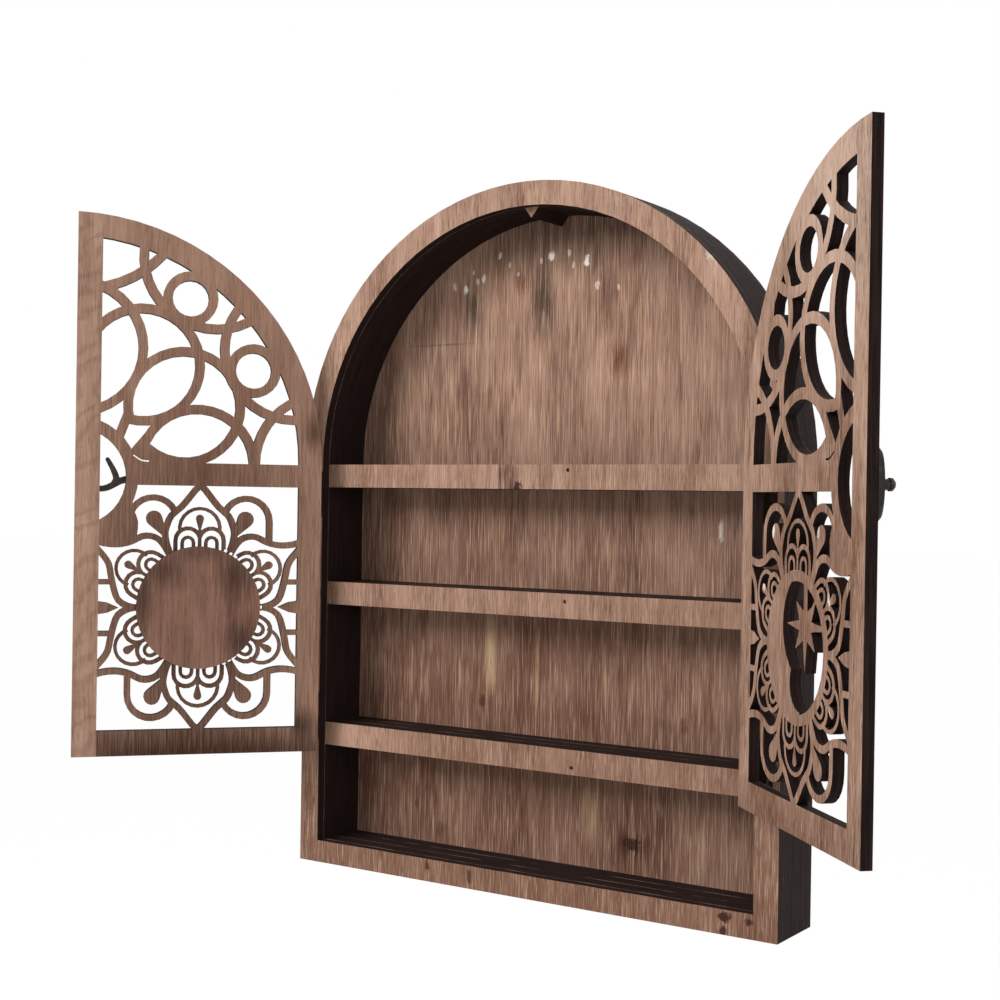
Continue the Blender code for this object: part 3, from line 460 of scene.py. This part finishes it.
# Screws: small cross-slot screws with low domed heads, in the same finish, two
# in each hinge leaf.

SCREW_R = 0.0016
SCREW_RIM = 0.0002
SLOT_W = 0.00035
SLOT_LONG = SCREW_R * 1.25
# The block that cuts a slot: the height of its middle, and its own height.
BLADE_UP = 0.0006
BLADE_TALL = 0.0006
# Each step of the dome: its rise, and its width as a share of the one below.
DOME = ((0.00018, 0.88), (0.00014, 0.78), (0.00006, 0.55))


def pick_top(thing):
    """Selects the face that looks straight up and is the highest."""
    polygons = thing.data.polygons
    top = max(p.center.z for p in polygons)
    bpy.ops.object.mode_set(mode="EDIT")
    bpy.ops.mesh.select_mode(type="FACE")
    bpy.ops.mesh.select_all(action="DESELECT")
    bpy.ops.object.mode_set(mode="OBJECT")
    for p in polygons:
        p.select = p.normal.z > 0.9 and p.center.z > top - 1e-6
    bpy.ops.object.mode_set(mode="EDIT")


def screw_head():
    """Low dome raised from a short cylinder, with a cross cut into it."""
    bpy.ops.object.select_all(action="DESELECT")
    bpy.ops.mesh.primitive_cylinder_add(vertices=28, radius=SCREW_R, depth=SCREW_RIM,
                                        location=(0, 0, SCREW_RIM / 2))
    head = bpy.context.object
    bpy.ops.object.transform_apply(location=True, rotation=True, scale=True)
    for rise, shrink in DOME:
        pick_top(head)
        bpy.ops.mesh.extrude_region_move(TRANSFORM_OT_translate={"value": (0, 0, rise)})
        bpy.ops.transform.resize(value=(shrink, shrink, 1))
        bpy.ops.object.mode_set(mode="OBJECT")
    for turn in (0, 90):
        cut_cross(head, turn)
    return head


def cut_cross(head, turn):
    """Cuts one slot of the cross with a thin block."""
    bpy.ops.object.select_all(action="DESELECT")
    bpy.ops.mesh.primitive_cube_add(size=1, location=(0, 0, BLADE_UP), rotation=(0, 0, math.radians(turn)))
    blade = bpy.context.object
    blade.scale = (SLOT_LONG, SLOT_W, BLADE_TALL)
    bpy.ops.object.transform_apply(location=True, rotation=True, scale=True)
    bpy.context.view_layer.objects.active = head
    cut = head.modifiers.new("cross", "BOOLEAN")
    cut.object = blade
    cut.solver = "EXACT"
    bpy.ops.object.modifier_apply(modifier=cut.name)
    bpy.data.objects.remove(blade)


def set_screw(name, place, body, finish):
    """Copies the screw to a place, with its mesh there, and lets it ride on a body."""
    screw = bpy.data.objects.new(name, first_screw.data.copy())
    bpy.context.scene.collection.objects.link(screw)
    screw.data.transform(place)
    screw.data.materials.clear()
    screw.data.materials.append(finish)
    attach(screw, body)


first_screw = screw_head()
TO_FRONT = Matrix.Rotation(math.radians(90), 4, "X")
SCREW_OUT = 0.0062
SCREW_UP = 0.008
LEAF_FACE = 0.0013
for name in hinges:
    joint = joints[name.split("_")[0] + "_door_hinge"]
    axis, side = Vector(joint["pos_m"]), -joint["axis"][2]
    low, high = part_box(name + "frame_leaf")
    middle = (low.z + high.z) / 2
    rest = Matrix.Rotation(-side * math.radians(-joint["range_deg"][0]), 4, "Z")
    for number, up in enumerate((SCREW_UP, -SCREW_UP)):
        spot = Matrix.Translation((axis.x - side * SCREW_OUT, axis.y + LEAF_FACE, middle + up))
        set_screw(f"{name}frame_screw_{number}", spot @ TO_FRONT, joint["parent"], hinge_bronze)
        shut = Matrix.Translation((side * SCREW_OUT, LEAF_FACE, middle + up)) @ TO_FRONT
        there = Matrix.Translation((axis.x, axis.y, 0)) @ rest @ shut
        set_screw(f"{name}door_screw_{number}", there, joint["child"], hinge_bronze)


# Latch: a forked hook that turns on a rivet on the left door and drops over a
# stud on the right one.  Both stand on thick oval plates, cast and blackened,
# and each plate has a sunk screw above and below its boss.

latch_bronze = dark_bronze("blackened_bronze", "#2B2724", "#5A4E42", 9.0)
for node in ("latch_hook", "latch_rivet", "latch_pivot_plate", "latch_stud", "latch_stud_plate"):
    dress(node, latch_bronze)

LATCH_REACH = 0.1387
LATCH_UP = 0.0054
PLATE_SCREW_UP = 0.011
PLATE_RISE = 0.0032
for plate, joint in (("latch_pivot", left), ("latch_stud", right)):
    axis, side = Vector(joint["pos_m"]), -joint["axis"][2]
    rest = Matrix.Rotation(-side * math.radians(-joint["range_deg"][0]), 4, "Z")
    for number, up in enumerate((PLATE_SCREW_UP, -PLATE_SCREW_UP)):
        shut = Matrix.Translation((side * LATCH_REACH, OUTER_FACE - PLATE_RISE, LATCH_UP + up)) @ TO_FRONT
        there = Matrix.Translation((axis.x, axis.y, 0)) @ rest @ shut
        set_screw(f"{plate}_screw_{number}", there, joint["child"], latch_bronze)
bpy.data.objects.remove(first_screw)


# Studio: white all round, as for a cut-out picture.  A large soft lamp stands
# in front on the left, and a weaker one on the right.

FLOOR_Z = -0.95
FLOOR_SIZE = 60
FLOOR_GLOW = 1.15
GLOW_SHARE = 0.8
bpy.ops.object.select_all(action="DESELECT")
bpy.ops.mesh.primitive_plane_add(size=FLOOR_SIZE, location=(0, 0, FLOOR_Z))
floor = bpy.context.object
floor.name = "studio_floor"
# White paper: matt, plain white to the eye, and still takes a faint shadow.
paper = bpy.data.materials.new("white_paper")
paper.use_nodes = True
tree = paper.node_tree
tree.nodes.clear()
seen = add(tree, "LightPath", {})
straight = add(tree, "Math", {0: seen.outputs["Is Camera Ray"], 1: seen.outputs["Is Glossy Ray"]},
               operation="MAXIMUM")
shown = add(tree, "Math", {0: straight.outputs[0], 1: GLOW_SHARE}, operation="MULTIPLY")
matt = add(tree, "BsdfDiffuse", {"Color": srgb("#EDEBE8")})
glow = add(tree, "Emission", {"Color": (1, 1, 1, 1), "Strength": FLOOR_GLOW})
both = add(tree, "MixShader", {0: shown.outputs[0], 1: matt.outputs[0], 2: glow.outputs[0]})
add(tree, "OutputMaterial", {"Surface": both.outputs[0]})
floor.data.materials.append(paper)

AMBIENT = 0.42
studio = bpy.data.worlds.new("studio")
bpy.context.scene.world = studio
studio.use_nodes = True
tree = studio.node_tree
tree.nodes.clear()
seen = add(tree, "LightPath", {})
straight = add(tree, "Math", {0: seen.outputs["Is Camera Ray"], 1: seen.outputs["Is Glossy Ray"]},
               operation="MAXIMUM")
shown = add(tree, "Math", {0: straight.outputs[0], 1: seen.outputs["Is Transmission Ray"]},
            operation="MAXIMUM")
soft = add(tree, "Background", {"Color": (1, 1, 1, 1), "Strength": AMBIENT})
white = add(tree, "Background", {"Color": (1, 1, 1, 1), "Strength": 1.0})
both = add(tree, "MixShader", {0: shown.outputs[0], 1: soft.outputs[0], 2: white.outputs[0]})
add(tree, "OutputWorld", {"Surface": both.outputs[0]})

lamps = (("key_lamp", (-0.9, -1.7, 1.1), 1.1, 38.0), ("fill_lamp", (1.9, -1.6, 0.5), 1.8, 12.0))
for name, place, size, power in lamps:
    lamp = bpy.data.lights.new(name, "AREA")
    lamp.size = size
    lamp.energy = power
    stand = bpy.data.objects.new(name, lamp)
    bpy.context.scene.collection.objects.link(stand)
    stand.location = place
    stand.rotation_euler = (-Vector(place)).to_track_quat("-Z", "Y").to_euler()


# Camera: where the photograph was taken, to the right of the cabinet at the
# height of the latch.

EYE = Vector((0.4836, -0.7841, -0.005))
YAW, PITCH, ROLL = (math.radians(a) for a in (33.854, -0.172, 0.886))
FOCAL_PX = 1586.06
IMAGE_PX = 1000
SENSOR_MM = 36
AXIS_BELOW_PX = 8.03
ahead = Vector((-math.sin(YAW) * math.cos(PITCH), math.cos(YAW) * math.cos(PITCH), math.sin(PITCH)))
level = Vector((math.cos(YAW), math.sin(YAW), 0))
upright = level.cross(ahead)
right_way = level * math.cos(ROLL) + upright * math.sin(ROLL)
up_way = upright * math.cos(ROLL) - level * math.sin(ROLL)
lens = bpy.data.cameras.new("camera")
lens.sensor_width = SENSOR_MM
lens.lens = FOCAL_PX / IMAGE_PX * lens.sensor_width
lens.shift_y = AXIS_BELOW_PX / IMAGE_PX
camera = bpy.data.objects.new("camera", lens)
bpy.context.scene.collection.objects.link(camera)
camera.matrix_world = Matrix.Translation(EYE) @ Matrix((right_way, up_way, -ahead)).transposed().to_4x4()
bpy.context.scene.camera = camera
bpy.context.scene.view_settings.view_transform = "Standard"
